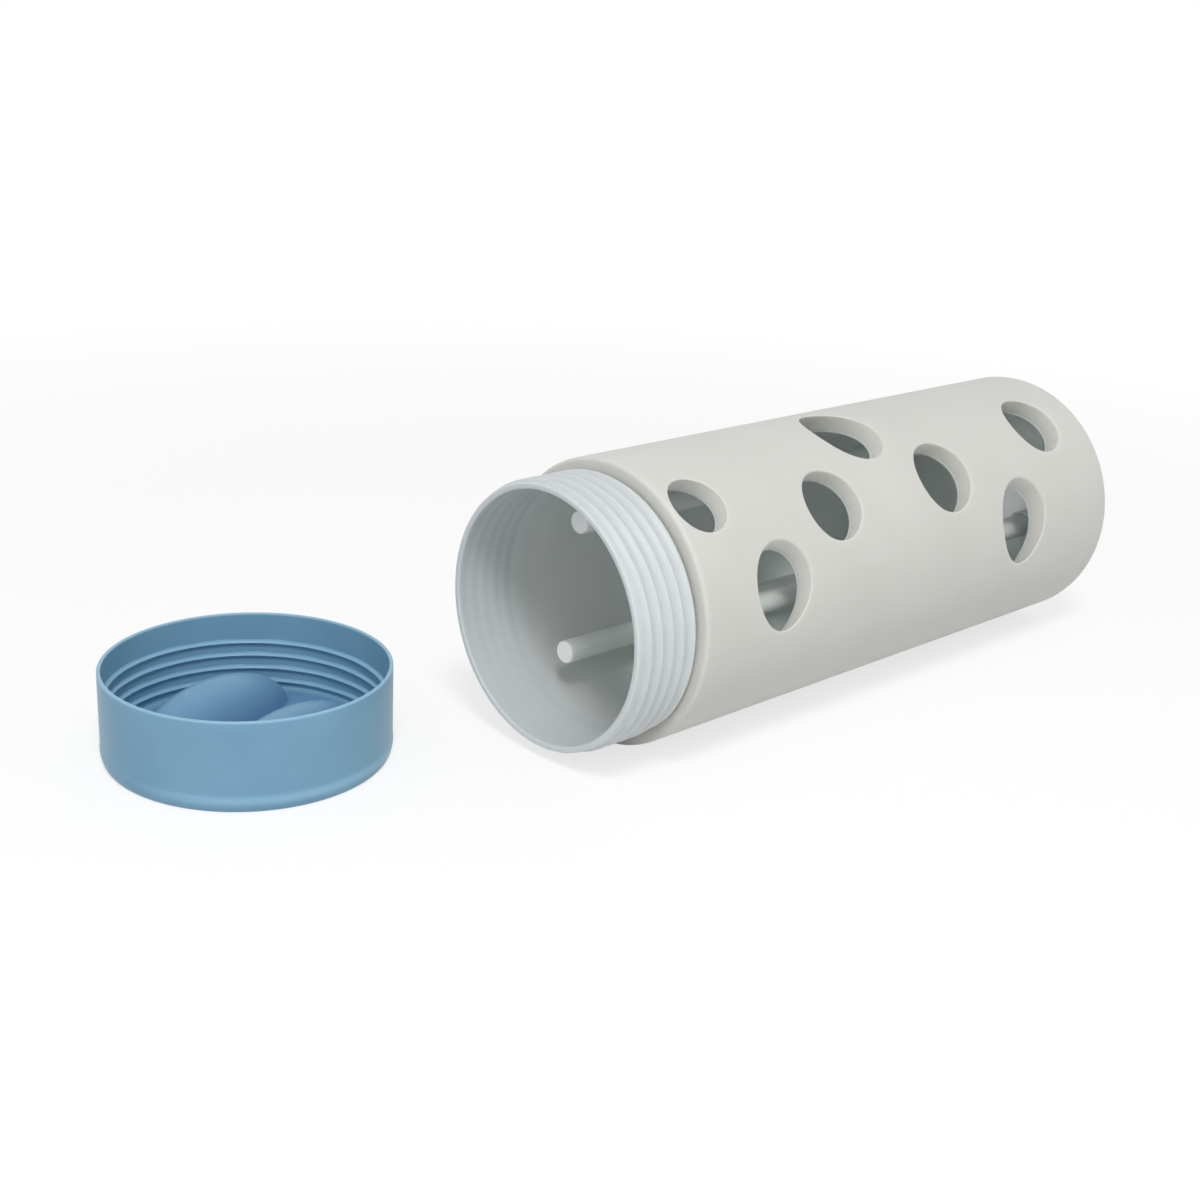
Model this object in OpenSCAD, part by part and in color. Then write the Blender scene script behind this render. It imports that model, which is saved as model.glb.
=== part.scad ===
// Rolling treat dispenser for dogs: a hard inner tube with a screw neck, a soft
// sleeve over it, holes through both walls, three pegs inside, and a screw cap.
// The tube lies on its side with its mouth towards -X. The cap lies beside the
// mouth, open side up. All sizes are in millimetres.

/* [Sleeve] */
// Outer diameter of the soft sleeve
sleeve_d = 70; // [60:1:90]
// Length of the sleeve, from its front lip to the closed end
sleeve_l = 167.5; // [130:0.5:220]
// Wall of the sleeve at its lip and over its closed end
sleeve_wall = 4; // [3:0.1:5]
// Rounding of the front lip
lip_r = 1.4; // [0.5:0.1:1.8]
// Rounding of the edge at the closed end
end_edge_r = 1.2; // [0.5:0.1:1.8]

/* [Inner tube] */
// Wall of the hard inner tube under the sleeve
tube_wall = 0.6; // [0.5:0.05:1.5]
// Thickness of the tube's closed end
end_wall = 1.75; // [1:0.05:4]
// Draft of the tube, inside and outside, in degrees
bore_draft = 0.3; // [0:0.05:0.6]
// Length of the bare neck in front of the sleeve
neck_l = 18.7; // [14:0.1:30]
// Width of the groove between the neck's shoulder and the sleeve's lip
neck_groove = 0.7; // [0.3:0.1:2]
// Wall of the neck between its thread ridges
neck_wall = 1.5; // [0.8:0.05:2]
// Rounding of the neck's front edge
neck_edge_r = 0.4; // [0.2:0.05:0.45]

/* [Holes] */
// Diameter of the first hole, next to the neck
small_hole_d = 15.2; // [10:0.1:17]
// Diameter of the middle-sized holes
middle_hole_d = 18.6; // [12:0.1:21]
// Diameter of the large holes
large_hole_d = 19.8; // [12:0.1:21]
// Distance from the front lip to the middle of the first hole
front_margin = 9.5; // [9.5:0.1:14]
// Distance from the middle of the last hole to the closed end
back_margin = 21.5; // [17:0.1:30]
// Direction in which all holes are cut, in degrees up from the side
hole_pull = 43; // [30:1:60]
// How far the sleeve's holes stand back from the tube's
hole_step = 0.1; // [0:0.05:0.8]

/* [Pegs] */
// Diameter of a peg at its free tip
peg_tip_d = 5.6; // [4:0.1:6]
// Diameter of a peg at its foot
peg_foot_d = 6.2; // [5:0.1:8]
// Distance from the bore's wall at the mouth in to a peg's axis
peg_inset = 10.55; // [8:0.05:14]
// Distance from the mouth to the tips
peg_setback = 18.2; // [16:0.1:40]
// Turn of the first peg round the tube, in degrees up from the side
peg_turn = -5; // [-60:1:60]
// Rounding of a peg's tip
peg_edge_r = 0.5; // [0.2:0.1:1]
// Length of the boss that holds a peg's foot
boss_l = 14; // [6:0.5:20]
// Wall of that boss
boss_wall = 0.9; // [0.7:0.1:2]

/* [Thread] */
// Height of the thread ridges on the neck and in the cap
thread_h = 0.7; // [0.4:0.05:1]

/* [Cap] */
// Height of the cap
cap_h = 21.7; // [20.9:0.1:32]
// Side wall of the cap
cap_wall = 1.05; // [0.8:0.05:2.5]
// Floor of the cap
cap_floor = 1.8; // [1:0.1:2.5]
// Rounding of the cap's closed edge
cap_edge_r = 1.4; // [0.6:0.1:1.8]
// Rounding inside the cap, between its floor and its wall
cap_inner_r = 1.2; // [0.6:0.1:2]
// Rounding of the cap's rim
cap_rim_r = 0.4; // [0.2:0.05:0.5]
// Height of the two bulges inside the cap
bulge_h = 13.7; // [10:0.1:15]
// Half length of a bulge, where it stands on the outer face
bulge_half_l = 24.5; // [20:0.1:26]
// Half width of a bulge there
bulge_half_w = 8.2; // [7:0.1:10]
// Distance of each bulge from the middle of the cap
bulge_offset = 12.6; // [11.5:0.1:14]
// Wall between a bulge and the finger pocket under it
pocket_wall = 1.5; // [1:0.1:2.5]
// Turn of the grip bar between the pockets, in degrees from the tube's length
bar_turn = 12; // [0:1:180]

/* [Layout] */
// Clear distance from the mouth to the cap
cap_gap = 17; // [5:0.5:60]
// Distance from the tube's axis to the cap's
cap_aside = 44.5; // [0:0.5:80]

/* [Clearances] */
// Gap between the sleeve and the tube
sleeve_fit = 0.05; // [0.02:0.01:0.2]
// Gap between a thread's ridge and the wall opposite
thread_gap = 0.1; // [0.05:0.05:0.4]
// Gap between a peg's foot and its boss
peg_fit = 0.05; // [0.02:0.01:0.2]

/* [Hidden] */
$fn = 96;

tube_white = [0.87, 0.89, 0.90];
sleeve_grey = [0.82, 0.83, 0.80];
cap_blue = [0.47, 0.64, 0.74];
overlap = 0.2;

sleeve_r = sleeve_d / 2;
total_l = neck_l + sleeve_l;
tube_r = sleeve_r - sleeve_wall - sleeve_fit;
tube_l = total_l - sleeve_wall;
bore_r = tube_r - tube_wall;
bore_l = tube_l - end_wall;
neck_root_r = bore_r + neck_wall;
thread_r = neck_root_r + thread_h;
peg_circle_r = bore_r - peg_inset;

cap_bore_r = thread_r + thread_gap;
cap_r = cap_bore_r + cap_wall;
cap_x = -cap_gap - cap_r;

// Holes as [place along the perforated length from 0 to 1, degrees from the pull, diameter]
holes = [
    [0, 11, small_hole_d],
    [0.129, -27, middle_hole_d],
    [0.308, -2, middle_hole_d],
    [0.48, 31, large_hole_d],
    [0.639, -2, large_hole_d],
    [0.853, -29, large_hole_d],
    [1, 12, middle_hole_d]
];
first_hole_x = neck_l + front_margin;
last_hole_x = total_l - back_margin;
function hole_x(hole) = first_hole_x + (last_hole_x - first_hole_x) * hole[0];
function hole_across(hole) = sleeve_r * sin(hole[1]);

// The origin is under the middle of the tube and the cap as they lie
x_mid = (total_l + cap_x - cap_r) / 2;
y_mid = (max(sleeve_r, cap_aside + cap_r) - sleeve_r) / 2;

// Half outline of a round bar along Y, with a rounded corner at each end
module bar_outline(radius, length, low_r, high_r) {
    translate([0, low_r])
        square([radius, length - low_r - high_r]);
    square([radius - low_r, length / 2]);
    translate([0, length / 2])
        square([radius - high_r, length / 2]);
    translate([radius - low_r, low_r])
        circle(low_r);
    translate([radius - high_r, length - high_r])
        circle(high_r);
}

// Half outline of a bar along Y that gets thinner by the tube's draft
module drafted_bar(radius, start, end) {
    polygon([
        [0, start],
        [radius - start * tan(bore_draft), start],
        [radius - end * tan(bore_draft), end],
        [0, end]
    ]);
}

// Lays what was made along Z down on the tube's axis, with Z = 0 at the mouth
module on_tube_axis() {
    translate([-x_mid, -y_mid, sleeve_r])
        rotate([0, 90, 0])
            children();
}

// Turns what was made along Z out to an angle round the tube, measured up from the side
module round_tube(angle) {
    rotate([0, 0, -90 - angle])
        children();
}

module hole_cutters(step) {
    for (hole = holes)
        translate([0, 0, hole_x(hole)])
            round_tube(hole_pull)
                translate([0, -hole_across(hole), 0])
                    rotate([0, 90, 0])
                        cylinder(h = 2 * sleeve_r, r = hole[2] / 2 - hole_step + step);
}

module at_peg(index) {
    round_tube(peg_turn + 120 * index)
        translate([peg_circle_r, 0, 0])
            children();
}

module tube_shell() {
    rotate_extrude()
        difference() {
            union() {
                bar_outline(neck_root_r, neck_l - neck_groove, neck_edge_r, neck_edge_r / 2);
                drafted_bar(tube_r, neck_l / 2, tube_l);
            }
            drafted_bar(bore_r, -overlap, bore_l);
        }
}

module peg_boss() {
    difference() {
        cylinder(h = boss_l + overlap, d = peg_foot_d + 2 * peg_fit + 2 * boss_wall);
        translate([0, 0, -overlap])
            cylinder(h = boss_l + overlap, d = peg_foot_d + 2 * peg_fit);
    }
}

module inner_tube() {
    color(tube_white)
        on_tube_axis() {
            difference() {
                tube_shell();
                hole_cutters(0);
            }
            for (index = [0:2])
                at_peg(index)
                    translate([0, 0, bore_l - boss_l])
                        peg_boss();
        }
}

module outer_sleeve() {
    color(sleeve_grey)
        on_tube_axis()
            difference() {
                rotate_extrude()
                    difference() {
                        translate([0, neck_l])
                            bar_outline(sleeve_r, sleeve_l, lip_r, end_edge_r);
                        drafted_bar(tube_r + sleeve_fit, 0, tube_l);
                    }
                hole_cutters(hole_step);
            }
}

module peg(index) {
    shaft_l = bore_l - peg_setback - boss_l;
    color(tube_white)
        on_tube_axis()
            at_peg(index)
                translate([0, 0, peg_setback]) {
                    rotate_extrude()
                        bar_outline(peg_tip_d / 2, 2 * peg_edge_r, peg_edge_r, peg_edge_r / 2);
                    translate([0, 0, peg_edge_r])
                        cylinder(h = shaft_l - peg_edge_r, d1 = peg_tip_d, d2 = peg_foot_d);
                    translate([0, 0, shaft_l])
                        cylinder(h = boss_l, d = peg_foot_d);
                }
}

// One bulge inside the cap, half of an ellipsoid that stands on the outer face.
// The inset makes it smaller all over, for the pocket underneath.
module bulge(inset) {
    scale([bulge_half_l - inset, bulge_half_w - inset, bulge_h - inset])
        sphere(1);
}

module both_bulges(inset) {
    for (side = [-1, 1])
        rotate([0, 0, bar_turn])
            translate([0, side * bulge_offset, 0])
                bulge(inset);
}

module screw_cap() {
    color(cap_blue)
        translate([cap_x - x_mid, cap_aside - y_mid, 0])
            difference() {
                union() {
                    rotate_extrude()
                        difference() {
                            bar_outline(cap_r, cap_h, cap_edge_r, cap_rim_r);
                            translate([0, cap_floor])
                                bar_outline(cap_bore_r, cap_h, cap_inner_r, cap_rim_r);
                        }
                    intersection() {
                        both_bulges(0);
                        cylinder(h = cap_h, r = cap_bore_r - cap_inner_r);
                    }
                }
                both_bulges(pocket_wall);
            }
}

inner_tube();
outer_sleeve();
peg(0);  // peg_near
peg(1);  // peg_upper
peg(2);  // peg_lower
screw_cap();
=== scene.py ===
"""Looks of a rolling treat toy for dogs: a perforated tube in a soft sleeve, its pegs and its screw cap."""

from __future__ import annotations

import logging
import math
from dataclasses import dataclass
from enum import Enum
from functools import partial
from typing import Any, Callable, Sequence

import bmesh
import bpy
from bmesh.types import BMEdge, BMesh, BMFace, BMVert
from bpy.types import Material, NodeSocket, Object, World
from mathutils import Matrix, Vector

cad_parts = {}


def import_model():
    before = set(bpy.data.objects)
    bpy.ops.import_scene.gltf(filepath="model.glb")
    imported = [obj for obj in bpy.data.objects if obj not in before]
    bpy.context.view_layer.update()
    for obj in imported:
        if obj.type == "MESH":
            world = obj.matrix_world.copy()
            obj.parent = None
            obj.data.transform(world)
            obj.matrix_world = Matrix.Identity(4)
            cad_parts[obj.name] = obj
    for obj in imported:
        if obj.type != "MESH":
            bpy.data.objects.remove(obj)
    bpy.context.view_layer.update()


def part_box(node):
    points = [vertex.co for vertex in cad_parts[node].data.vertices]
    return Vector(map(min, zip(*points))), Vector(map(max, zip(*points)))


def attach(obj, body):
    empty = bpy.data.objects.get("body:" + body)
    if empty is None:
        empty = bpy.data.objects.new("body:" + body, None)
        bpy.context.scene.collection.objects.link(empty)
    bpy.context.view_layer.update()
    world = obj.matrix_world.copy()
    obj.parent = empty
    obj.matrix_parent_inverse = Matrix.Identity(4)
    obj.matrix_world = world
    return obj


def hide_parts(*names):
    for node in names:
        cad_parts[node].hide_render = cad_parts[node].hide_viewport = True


LOG = logging.getLogger("treat_toy")
MM = 0.001
FULL_TURN = 2.0 * math.pi
ALONG = Vector((1.0, 0.0, 0.0))
NEAR_SIDE = Vector((0.0, -1.0, 0.0))
UP = Vector((0.0, 0.0, 1.0))

Point = tuple[float, float]
Colour = tuple[float, float, float, float]
Wall = Callable[[float], float]
Ring = Callable[[float], Vector]

WHITE: Colour = (1.0, 1.0, 1.0, 1.0)
OUT_OF_REACH: Point = (math.inf, math.inf)
# How near a point lies to the wall that an opening is cut in
ON_WALL = 0.02 * MM
# How near a point lies to the plain wall that a screw ridge rises from
ON_ROOT = 0.01 * MM
# Points that are nearer to each other than these become one, in a spun shell and after its holes are cut
SPUN_MERGE = 1e-7
CUT_MERGE = 2e-6
# Edges shorter than this count as having no length
NO_LENGTH = 1e-8
# Sharper edges than this stay sharp in smooth shading
SHARP = math.radians(38.0)
# Segments round the pegs and bosses, and rings over a dome's foot
ROD_STEPS = 48
FOOT_STEPS = 5


class Body(Enum):
    """The two bodies that the pieces ride on."""

    TUBE = "tube"
    CAP = "cap"


class Slot(Enum):
    """The record's material slots."""

    TUBE = "inner_tube"
    SLEEVE = "outer_sleeve"
    PEGS = "pegs"
    CAP = "screw_cap"


def paint(red: int, green: int, blue: int) -> Colour:
    """Turns a screen colour into the linear colour that shaders take.

    Args:
        red, green, blue: levels from 0 to 255.

    Returns:
        Linear red, green and blue, and an alpha of 1.
    """

    def linear(level: int) -> float:
        """One channel from screen level to linear light."""
        share = level / 255.0
        return share / 12.92 if share <= 0.04045 else ((share + 0.055) / 1.055) ** 2.4

    return linear(red), linear(green), linear(blue), 1.0


class Wire:
    """One output in a node graph, with the sums that the finishes use."""

    def __init__(self, graph: NodeGraph, socket: NodeSocket) -> None:
        """Keeps the graph and the socket."""
        self.graph = graph
        self.socket = socket

    def _sum(self, operation: str, first: Wire | float, second: Wire | float) -> Wire:
        """Adds one Math node and returns its result."""
        return self.graph.add("ShaderNodeMath", {"operation": operation}, {0: first, 1: second})

    def __add__(self, other: Wire | float) -> Wire:
        """self + other."""
        return self._sum("ADD", self, other)

    def __radd__(self, other: float) -> Wire:
        """other + self."""
        return self._sum("ADD", other, self)

    def __sub__(self, other: Wire | float) -> Wire:
        """self - other."""
        return self._sum("SUBTRACT", self, other)

    def __rsub__(self, other: float) -> Wire:
        """other - self."""
        return self._sum("SUBTRACT", other, self)

    def __mul__(self, other: Wire | float) -> Wire:
        """self * other."""
        return self._sum("MULTIPLY", self, other)

    def __rmul__(self, other: float) -> Wire:
        """other * self."""
        return self._sum("MULTIPLY", other, self)


class NodeGraph:
    """The nodes of a material or a world, with one method that adds any of them."""

    def __init__(self, owner: Material | World) -> None:
        """Starts an empty graph.

        Args:
            owner: the material or the world that the nodes belong to.
        """
        owner.use_nodes = True
        self.owner = owner
        self.tree = owner.node_tree
        self.tree.nodes.clear()

    def add(
        self,
        kind: str,
        settings: dict[str, Any] | None = None,
        inputs: dict[int | str, Any] | None = None,
        output: int | str = 0,
    ) -> Wire:
        """Adds a node, sets it up and links its inputs.

        Args:
            kind: the node's type.
            settings: properties to set first.
            inputs: a value or a Wire for each socket, by name or number.
            output: which output to return.

        Returns:
            The chosen output.
        """
        node = self.tree.nodes.new(kind)
        for name, value in (settings or {}).items():
            setattr(node, name, value)
        for name, value in (inputs or {}).items():
            if isinstance(value, Wire):
                self.tree.links.new(value.socket, node.inputs[name])
            else:
                node.inputs[name].default_value = value
        return Wire(self, node.outputs[output]) if node.outputs else Wire(self, node.inputs[0])

    def place(self) -> Wire:
        """The point on the surface, in the object's own coordinates."""
        return self.add("ShaderNodeTexCoord", output="Object")

    def parts(self) -> tuple[Wire, Wire, Wire]:
        """The three coordinates of the point on the surface."""
        spot = self.place()
        return tuple(self.add("ShaderNodeSeparateXYZ", {}, {0: spot}, axis) for axis in "XYZ")

    def length(self, first: Wire, second: Wire) -> Wire:
        """Length of a flat vector from its two parts."""
        return self.add("ShaderNodeMath", {"operation": "SQRT"}, {0: first * first + second * second})

    def noise(
        self, scale: float, detail: float = 2.0, roughness: float = 0.5, stretch: Sequence[float] = (1, 1, 1)
    ) -> Wire:
        """Noise from 0 to 1 on object coordinates.

        Args:
            scale: waves per metre.
            detail: octaves.
            roughness: weight of the fine octaves.
            stretch: factor along each axis.

        Returns:
            The noise value.
        """
        spot = self.add("ShaderNodeMapping", {}, {"Vector": self.place(), "Scale": tuple(stretch)})
        inputs = {"Vector": spot, "Scale": scale, "Detail": detail, "Roughness": roughness}
        return self.add("ShaderNodeTexNoise", {}, inputs, "Fac")

    def spread(self, value: Wire, low: float, high: float, to_low: float = 0.0, to_high: float = 1.0) -> Wire:
        """Maps a range of a value to another range, without going past it."""
        inputs = {"Value": value, "From Min": low, "From Max": high, "To Min": to_low, "To Max": to_high}
        return self.add("ShaderNodeMapRange", {"clamp": True}, inputs)

    def fall(self, value: Wire, low: float, high: float) -> Wire:
        """1 below a range of a value, falling to 0 above it."""
        return self.spread(value, low, high, 1.0, 0.0)

    def blend(self, share: Wire | float, first: Wire | Colour, second: Wire | Colour) -> Wire:
        """Mixes two colours."""
        return self.add("ShaderNodeMix", {"data_type": "RGBA"}, {0: share, 6: first, 7: second}, 2)

    def bump(self, height: Wire, strength: float, distance: float) -> Wire:
        """A bumped normal from a height between 0 and 1."""
        inputs = {"Strength": strength, "Distance": distance, "Height": height}
        return self.add("ShaderNodeBump", {}, inputs, "Normal")

    def finish(self, inputs: dict[str, Any]) -> Material:
        """Adds the surface shader and the output.

        Args:
            inputs: a value or a Wire for each socket of the shader.

        Returns:
            The finished material.
        """
        shader = self.add("ShaderNodeBsdfPrincipled", {}, inputs)
        self.add("ShaderNodeOutputMaterial", {}, {"Surface": shader})
        return self.owner


@dataclass(frozen=True, kw_only=True)
class SoftRubber:
    """Matte soft rubber with a fine moulded grain and faint cloudiness; its inner faces and hole walls are
    painted paler, a painted glow for light coming through the rubber.
    """

    sizes: ToySizes
    name: str = "sleeve_rubber"
    light: Colour = paint(210, 210, 205)
    shade: Colour = paint(204, 204, 199)
    # Painted glow colour: the hole walls and inner faces get it to stand for light coming through the rubber.
    cut: Colour = paint(222, 222, 216)
    roughness: float = 0.56
    grain_per_m: float = 2600.0
    cloud_per_m: float = 38.0

    def material(self) -> Material:
        """Makes the material.

        Returns:
            The material.
        """
        size = self.sizes
        front, end, outer = size.mouth + size.lip, size.mouth + size.length, size.sleeve_r
        graph = NodeGraph(bpy.data.materials.new(self.name))
        cloud = graph.noise(self.cloud_per_m, 3.0)
        grain = graph.noise(self.grain_per_m, 2.0, 0.6)
        x, y, z = graph.parts()
        radius = graph.length(y - size.axis_y, z - size.axis_z)
        # Painted glow on the inner faces and hole walls, from behind the lip to before the closed end.
        within = graph.fall(radius, outer - 1.0 * MM, outer - 0.3 * MM)
        behind_lip = graph.spread(x, front + 0.6 * MM, front + 1.2 * MM)
        before_end = graph.fall(x, end - 3.0 * MM, end - 2.0 * MM)
        plain = graph.blend(graph.spread(cloud * 0.8 + grain * 0.2, 0.3, 0.7), self.shade, self.light)
        colour = graph.blend(within * behind_lip * before_end, plain, self.cut)
        rough = graph.spread(cloud, 0.25, 0.75, self.roughness - 0.05, self.roughness + 0.06)
        normal = graph.bump(grain, 0.10, 0.12 * MM)
        return graph.finish(
            {
                "Base Color": colour,
                "Roughness": rough,
                "Normal": normal,
                "Specular IOR Level": 0.35,
                "Sheen Weight": 0.06,
                "Sheen Roughness": 0.5,
                "Subsurface Weight": 0.4,
                "Subsurface Radius": (1.0, 0.95, 0.85),
                "Subsurface Scale": 3.0 * MM,
            }
        )


@dataclass(frozen=True, kw_only=True)
class MilkyPlastic:
    """Thin white plastic that lets a little light through, with flow marks along the moulding."""

    sizes: ToySizes
    name: str
    light: Colour
    shade: Colour
    glow: float
    roughness: float = 0.34
    glow_depth: float = 3.0 * MM
    flow_per_m: float = 60.0
    flow_stretch: tuple[float, float, float] = (0.25, 1.0, 1.0)
    grain_per_m: float = 1800.0

    def colour(self, graph: NodeGraph, flow: Wire) -> Wire:
        """The plastic's colour, cloudy along the flow."""
        return graph.blend(graph.spread(flow, 0.3, 0.7), self.shade, self.light)

    def material(self) -> Material:
        """Makes the material.

        Returns:
            The material.
        """
        graph = NodeGraph(bpy.data.materials.new(self.name))
        flow = graph.noise(self.flow_per_m, 3.0, 0.55, self.flow_stretch)
        grain = graph.noise(self.grain_per_m, 2.0)
        mottle = flow * 0.6 + grain * 0.4
        rough = graph.spread(mottle, 0.3, 0.7, self.roughness - 0.05, self.roughness + 0.06)
        normal = graph.bump(grain, 0.05, 0.08 * MM)
        return graph.finish(
            {
                "Base Color": self.colour(graph, flow),
                "Roughness": rough,
                "Normal": normal,
                "Subsurface Weight": self.glow,
                "Subsurface Radius": (1.0, 1.0, 1.0),
                "Subsurface Scale": self.glow_depth,
            }
        )


@dataclass(frozen=True, kw_only=True)
class TubePlastic(MilkyPlastic):
    """The tube's plastic: bluish on the bare neck, with painted shade in thread stripes inside the neck and
    on the neck's top, and painted light that makes it paler under the sleeve and paler still deeper in.
    """

    name: str = "tube_white"
    light: Colour = paint(208, 213, 214)
    shade: Colour = paint(201, 207, 209)
    # Painted light: colours under the sleeve, the second one deeper in, both paler to stand for light
    # reaching into the bore.
    deep: Colour = paint(225, 231, 227)
    painted_light_far: Colour = paint(244, 251, 248)
    # Painted shade colour for the thread's shadow stripes inside the neck and the darker top of the neck.
    painted_shade_band: Colour = paint(192, 197, 199)
    roughness: float = 0.5
    glow: float = 0.6

    def colour(self, graph: NodeGraph, flow: Wire) -> Wire:
        """The plastic's colour by place.

        Args:
            graph: the material's graph.
            flow: cloudiness from 0 to 1.

        Returns:
            The colour.
        """
        size = self.sizes
        lip, bore = size.lip, size.bore(0.0)
        x, y, z = graph.parts()
        along = x - size.mouth
        aside = size.axis_y - y
        above = z - size.axis_z
        turn = graph.add("ShaderNodeMath", {"operation": "ARCTAN2"}, {0: above, 1: aside})
        radius = graph.length(aside, above)
        ridges = along * (FULL_TURN / size.thread_pitch) + turn
        wave = graph.add("ShaderNodeMath", {"operation": "COSINE"}, {0: ridges})
        inside = graph.fall(radius, bore, bore + 0.5 * MM)
        neck = graph.fall(along, lip - 2 * MM, lip + 1 * MM)
        # Painted light: paler under the sleeve, and paler again with depth along the bore.
        under = graph.spread(along, lip - 3 * MM, lip + 7 * MM)
        painted_light_further = graph.spread(along, lip + 30 * MM, lip + 70 * MM)
        plain = super().colour(graph, flow)
        # Painted shade: a darker inside of the neck with stripes that follow the thread, weaker lower down,
        # and a darker top on the neck's outside.
        fading = graph.spread(above, -24 * MM, -2 * MM, 0.06, 0.3)
        upper = graph.spread(above, 16 * MM, 30 * MM, 0.0, 0.6)
        share = (wave * fading + 0.7) * inside + upper * (1.0 - inside)
        with_painted_shade = graph.blend(share * neck, plain, self.painted_shade_band)
        return graph.blend(under, with_painted_shade, graph.blend(painted_light_further, self.deep, self.painted_light_far))


@dataclass(frozen=True, kw_only=True)
class PegPlastic(MilkyPlastic):
    """The pegs' plastic, whiter on the tips: partly a moulding mark, partly painted light for the light that
    the tips catch.
    """

    name: str = "peg_white"
    light: Colour = paint(230, 233, 230)
    shade: Colour = paint(222, 226, 224)
    # Whiter tips: partly a moulding mark, partly painted light for the light that falls on them.
    tip: Colour = paint(250, 252, 250)
    glow: float = 0.2

    def colour(self, graph: NodeGraph, flow: Wire) -> Wire:
        """The plastic's colour by place."""
        body = graph.spread(graph.parts()[0], self.sizes.peg_tip + 0.3 * MM, self.sizes.peg_tip + 1.2 * MM)
        return graph.blend(body, self.tip, super().colour(graph, flow))


@dataclass(frozen=True, kw_only=True)
class SatinPlastic:
    """Coloured satin plastic with a fine grain.

    Painted highlights make it paler on its rim, on its screw ridge and in a patchy stripe round one side of
    its foot; painted shade makes it darker inside towards its floor.
    """

    sizes: ToySizes
    name: str = "cap_blue"
    light: Colour = paint(121, 164, 189)
    shade: Colour = paint(115, 158, 184)
    # Painted highlight colour for the rim, the screw ridge and the stripe round the foot.
    pale: Colour = paint(142, 184, 208)
    # Painted shade colour for the inside towards the floor.
    deep: Colour = paint(102, 143, 180)
    roughness: float = 0.34
    cloud_per_m: float = 70.0
    grain_per_m: float = 900.0
    highlight_patch_per_m: float = 24.0

    def colour(self, graph: NodeGraph, cloud: Wire) -> Wire:
        """The plastic's colour by place.

        Args:
            graph: the material's graph.
            cloud: cloudiness from 0 to 1.

        Returns:
            The colour.
        """
        size = self.sizes
        bore, rim = size.cap_bore, size.cap_h
        x, y, z = graph.parts()
        ahead, aside = x - size.cap_x, y - size.cap_y
        radius = graph.length(ahead, aside)
        # Painted highlights: the rim's top, the screw ridge's crest and a patchy stripe round one side of the
        # foot.
        edge = graph.spread(z, rim - 0.6 * MM, rim - 0.2 * MM)
        ridge = graph.fall(radius, bore - 0.6 * MM, bore - 0.15 * MM)
        beside = graph.spread(radius, bore - 1.4 * MM, bore - 1.0 * MM)
        above = graph.spread(z, 3.0 * MM, 4.0 * MM)
        outside = graph.spread(radius, bore + 0.6 * MM, bore + 0.8 * MM)
        foot = graph.spread(z, 1.2 * MM, 2.7 * MM) * graph.fall(z, 2.9 * MM, 4.7 * MM)
        highlight_side = graph.spread(ahead - aside, -28 * MM, -4 * MM)
        highlight_patches = graph.spread(graph.noise(self.highlight_patch_per_m, 2.0), 0.35, 0.6, 0.65, 1.0) * highlight_side
        painted_highlight = graph.spread(edge + ridge * beside * above * 0.7 + foot * outside * highlight_patches, 0.0, 1.0)
        plain = graph.blend(graph.spread(cloud, 0.3, 0.7), self.shade, self.light)
        # Painted shade: darker inside, away from the wall, towards the floor.
        within = graph.fall(radius, bore - 2.4 * MM, bore - 1.4 * MM)
        low = graph.spread(z, 3.0 * MM, 13.0 * MM, 1.0, 0.3) * graph.spread(z, 0.5 * MM, 1.5 * MM)
        return graph.blend(painted_highlight, graph.blend(within * low, plain, self.deep), self.pale)

    def material(self) -> Material:
        """Makes the material.

        Returns:
            The material.
        """
        graph = NodeGraph(bpy.data.materials.new(self.name))
        cloud = graph.noise(self.cloud_per_m, 3.0, 0.55)
        grain = graph.noise(self.grain_per_m, 1.0, 0.5)
        mottle = cloud * 0.8 + grain * 0.2
        rough = graph.spread(mottle, 0.2, 0.8, self.roughness - 0.02, self.roughness + 0.02)
        normal = graph.bump(grain, 0.01, 0.03 * MM)
        return graph.finish(
            {
                "Base Color": self.colour(graph, cloud),
                "Roughness": rough,
                "Normal": normal,
                "Specular IOR Level": 0.2,
            }
        )


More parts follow.
